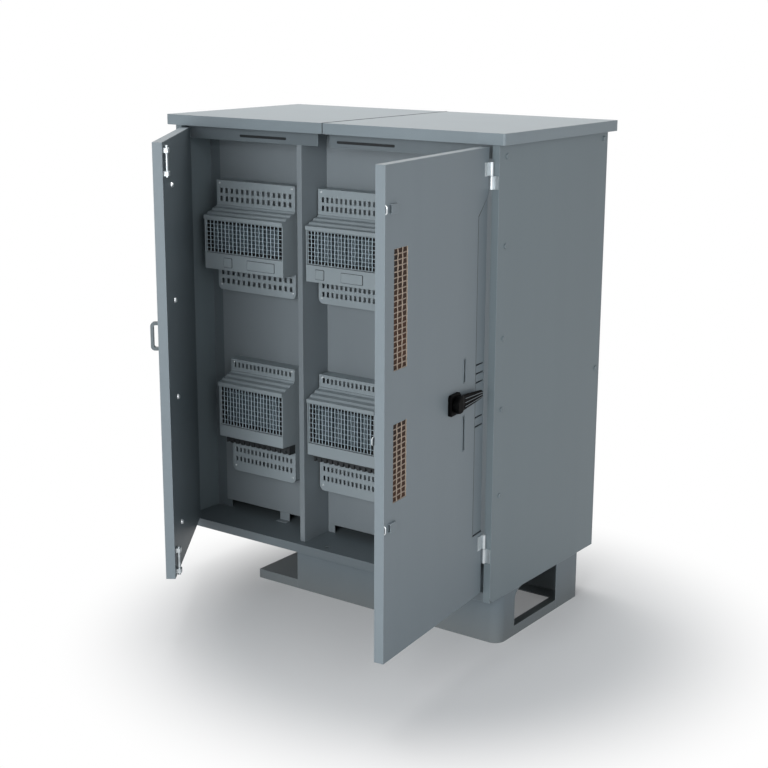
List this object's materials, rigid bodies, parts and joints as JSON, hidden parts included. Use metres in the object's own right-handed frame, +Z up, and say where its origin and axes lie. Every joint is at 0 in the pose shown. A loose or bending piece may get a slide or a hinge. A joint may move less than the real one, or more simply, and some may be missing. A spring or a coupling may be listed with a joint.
{
  "type": "roadside utility cabinet",
  "caption": "Free-standing roadside cabinet of folded sheet on a raised plinth, with open hinged doors, a swing handle, vents and bays of hooded equipment modules.",
  "frame": {"origin": "on the ground under the middle of the body, on the plinth's underside", "axes": "+Z up, the doors on the -Y side, +X to the right of a person who faces the doors"},
  "size_m": [1.2618, 1.2294, 1.516],
  "materials": {
    "cabinet_paint": "satin",
    "door_paint": "satin",
    "inner_paint": "satin",
    "plate_paint": "satin",
    "module_paint": "satin",
    "plinth_paint": "satin",
    "roof_paint": "satin",
    "zinc_steel": "zinc plated",
    "vent_wire": "dull",
    "filter_pad": "fibre",
    "guard_wire": "dull",
    "cooler_metal": "black anodised",
    "black_plastic": "moulded",
    "dark_plastic": "moulded",
    "grey_casting": "satin"
  },
  "bodies": {
    "cabinet": {"plinth_base": "plinth_paint", "plinth_front_beam": "plinth_paint", "plinth_rear_beam": "plinth_paint", "floor_pan": "inner_paint", "side_panel_left": "cabinet_paint", "side_panel_right": "cabinet_paint", "rear_panel": "cabinet_paint", "top_panel": "cabinet_paint", "header_rail": "inner_paint", "roof_left": "roof_paint", "roof_right": "roof_paint", "panel_screws": "zinc_steel", "upright_left": "inner_paint", "upright_right": "inner_paint", "divider": "cabinet_paint", "mounting_plate_left": "plate_paint", "mounting_plate_right": "plate_paint", "right_frame_knuckles": "zinc_steel", "left_frame_knuckles": "zinc_steel", "right_hinge_pins": "zinc_steel", "left_hinge_pins": "zinc_steel", "lower_left_terminals": "dark_plastic", "lower_right_terminals": "dark_plastic", "upper_left_chassis": "module_paint", "upper_left_housing": "module_paint", "upper_left_wire_guard": "guard_wire", "upper_left_cooler": "cooler_metal", "upper_right_chassis": "module_paint", "upper_right_housing": "module_paint", "upper_right_wire_guard": "guard_wire", "upper_right_cooler": "cooler_metal", "lower_left_chassis": "module_paint", "lower_left_housing": "module_paint", "lower_left_wire_guard": "guard_wire", "lower_left_cooler": "cooler_metal", "lower_right_chassis": "module_paint", "lower_right_housing": "module_paint", "lower_right_wire_guard": "guard_wire", "lower_right_cooler": "cooler_metal"},
    "right_door": {"right_door_skin": "door_paint", "right_door_liner": "inner_paint", "right_vent_meshes": "vent_wire", "right_vent_filters": "filter_pad", "right_door_knuckles": "zinc_steel", "right_edge_clips": "zinc_steel", "handle_base": "black_plastic", "bar_guides": "zinc_steel"},
    "handle": {"swing_handle": "black_plastic", "lock_spindle": "zinc_steel"},
    "drive_bar": {"drive_bar": "zinc_steel"},
    "left_door": {"left_door_skin": "door_paint", "left_door_liner": "inner_paint", "left_vent_meshes": "vent_wire", "left_vent_filters": "filter_pad", "left_door_knuckles": "zinc_steel", "left_pull_handle": "grey_casting", "bolt_guides": "zinc_steel"},
    "top_bolt": {"top_bolt": "zinc_steel"},
    "bottom_bolt": {"bottom_bolt": "zinc_steel"}
  },
  "joints": [
    {"name": "right_door", "type": "hinge", "parent": "cabinet", "child": "right_door", "pos_m": [0.579, -0.321, 0.83], "axis": [0, 0, 1], "range_deg": [-96, 24]},
    {"name": "swing_handle", "type": "hinge", "parent": "right_door", "child": "handle", "pos_m": [0.59383, -0.51954, 0.798], "axis": [-0.9945, -0.1045, 0], "range_deg": [0, 90]},
    {"name": "drive_bar", "type": "slide", "parent": "right_door", "child": "drive_bar", "axis": [0.1045, -0.9945, 0], "range_m": [0, 0.03]},
    {"name": "left_door", "type": "hinge", "parent": "cabinet", "child": "left_door", "pos_m": [-0.579, -0.321, 0.83], "axis": [0, 0, -1], "range_deg": [-55, 65]},
    {"name": "top_bolt", "type": "slide", "parent": "left_door", "child": "top_bolt", "axis": [0, 0, 1], "range_m": [0, 0.024]},
    {"name": "bottom_bolt", "type": "slide", "parent": "left_door", "child": "bottom_bolt", "axis": [0, 0, -1], "range_m": [0, 0.024]}
  ],
  "couplings": [
    {"joint": "drive_bar", "follows": "swing_handle", "m_per_rad": 0.018907}
  ]
}
